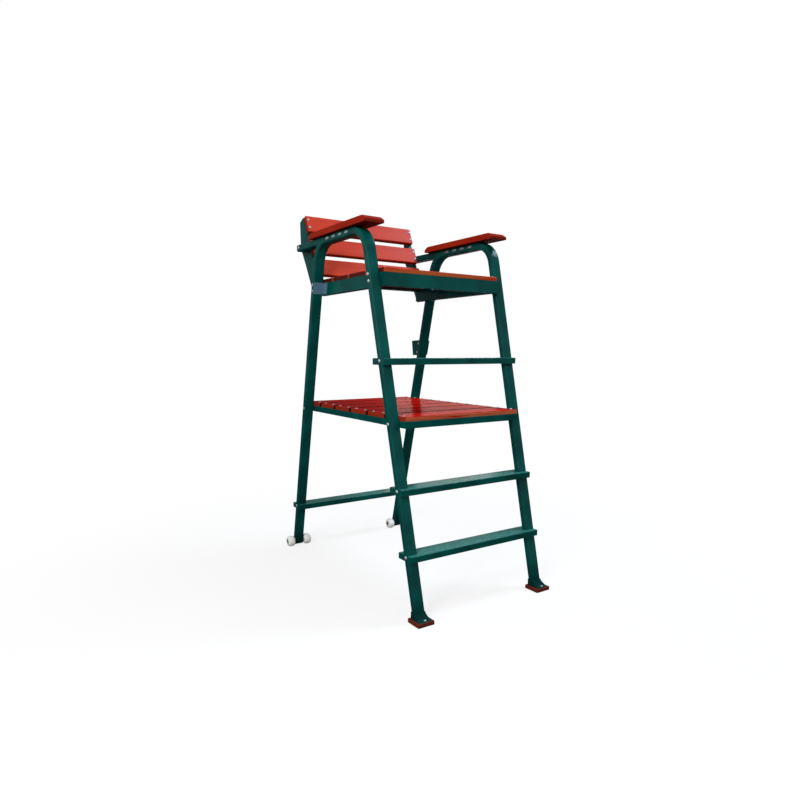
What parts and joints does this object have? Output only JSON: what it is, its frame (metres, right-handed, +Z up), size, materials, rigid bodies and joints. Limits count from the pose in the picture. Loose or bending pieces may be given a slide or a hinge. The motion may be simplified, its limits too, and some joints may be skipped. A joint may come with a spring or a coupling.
{
  "type": "tennis umpire chair",
  "caption": "Tall umpire chair: bent tube side frames, climbing treads, slatted deck, slatted seat and back, armrests, front pads and rear rollers.",
  "frame": {"origin": "on the floor, in the middle of the chair's overall box", "axes": "+X to the sitter's left, -Y to the front, +Z up"},
  "size_m": [0.8934, 1.4434, 1.9176],
  "materials": {
    "green_paint": "gloss",
    "back_slat_lacquer": "gloss",
    "seat_slat_lacquer": "gloss",
    "deck_slat_lacquer": "gloss",
    "armrest_lacquer": "gloss",
    "pad_rubber": "matt",
    "roller_nylon": "satin",
    "galvanised_steel": "matt",
    "dark_plastic": "matt",
    "zinc_steel": "satin"
  },
  "bodies": {
    "chair": {"arm_tail_left": "green_paint", "arm_tail_plugs": "green_paint", "arm_tail_right": "green_paint", "armrest_left": "armrest_lacquer", "armrest_right": "armrest_lacquer", "armrest_screws": "zinc_steel", "axle_caps": "dark_plastic", "axle_washers": "zinc_steel", "back_bolts": "zinc_steel", "back_plate_left": "green_paint", "back_plate_right": "green_paint", "back_slat_bottom": "back_slat_lacquer", "back_slat_middle": "back_slat_lacquer", "back_slat_top": "back_slat_lacquer", "bracket_bolts": "zinc_steel", "deck_front_rail": "green_paint", "deck_rear_rail": "green_paint", "deck_screws": "zinc_steel", "deck_side_rail_left": "green_paint", "deck_side_rail_right": "green_paint", "deck_slat_1": "deck_slat_lacquer", "deck_slat_2": "deck_slat_lacquer", "deck_slat_3": "deck_slat_lacquer", "deck_slat_4": "deck_slat_lacquer", "deck_slat_5": "deck_slat_lacquer", "deck_slat_6": "deck_slat_lacquer", "foot_bolts": "zinc_steel", "foot_collar_left": "green_paint", "foot_collar_right": "green_paint", "foot_pad_left": "pad_rubber", "foot_pad_right": "pad_rubber", "footrest": "green_paint", "frame_bolts_left": "zinc_steel", "frame_bolts_right": "zinc_steel", "lower_step": "green_paint", "middle_step": "green_paint", "rear_crossbar": "green_paint", "seat_cleat_left": "galvanised_steel", "seat_cleat_right": "galvanised_steel", "seat_front_rail": "green_paint", "seat_rail_plugs": "dark_plastic", "seat_rear_bar": "green_paint", "seat_screws": "zinc_steel", "seat_side_rail_left": "green_paint", "seat_side_rail_right": "green_paint", "seat_slat_1": "seat_slat_lacquer", "seat_slat_2": "seat_slat_lacquer", "seat_slat_3": "seat_slat_lacquer", "seat_slat_4": "seat_slat_lacquer", "seat_spacers": "green_paint", "seat_under_bolt": "zinc_steel", "side_frame_left": "green_paint", "side_frame_right": "green_paint", "umbrella_socket": "green_paint", "wheel_axle_left": "zinc_steel", "wheel_axle_right": "zinc_steel"},
    "roller_right_outer": {"roller_right_outer": "roller_nylon"},
    "roller_right_inner": {"roller_right_inner": "roller_nylon"},
    "roller_left_outer": {"roller_left_outer": "roller_nylon"},
    "roller_left_inner": {"roller_left_inner": "roller_nylon"}
  },
  "joints": [
    {"name": "roller_right_outer_spin", "type": "hinge", "parent": "chair", "child": "roller_right_outer", "pos_m": [-0.4237, 0.68865, 0.033], "axis": [1, 0, 0], "continuous": true},
    {"name": "roller_right_inner_spin", "type": "hinge", "parent": "chair", "child": "roller_right_inner", "pos_m": [-0.3176, 0.68865, 0.033], "axis": [1, 0, 0], "continuous": true},
    {"name": "roller_left_outer_spin", "type": "hinge", "parent": "chair", "child": "roller_left_outer", "pos_m": [0.4237, 0.68865, 0.033], "axis": [1, 0, 0], "continuous": true},
    {"name": "roller_left_inner_spin", "type": "hinge", "parent": "chair", "child": "roller_left_inner", "pos_m": [0.3176, 0.68865, 0.033], "axis": [1, 0, 0], "continuous": true}
  ]
}
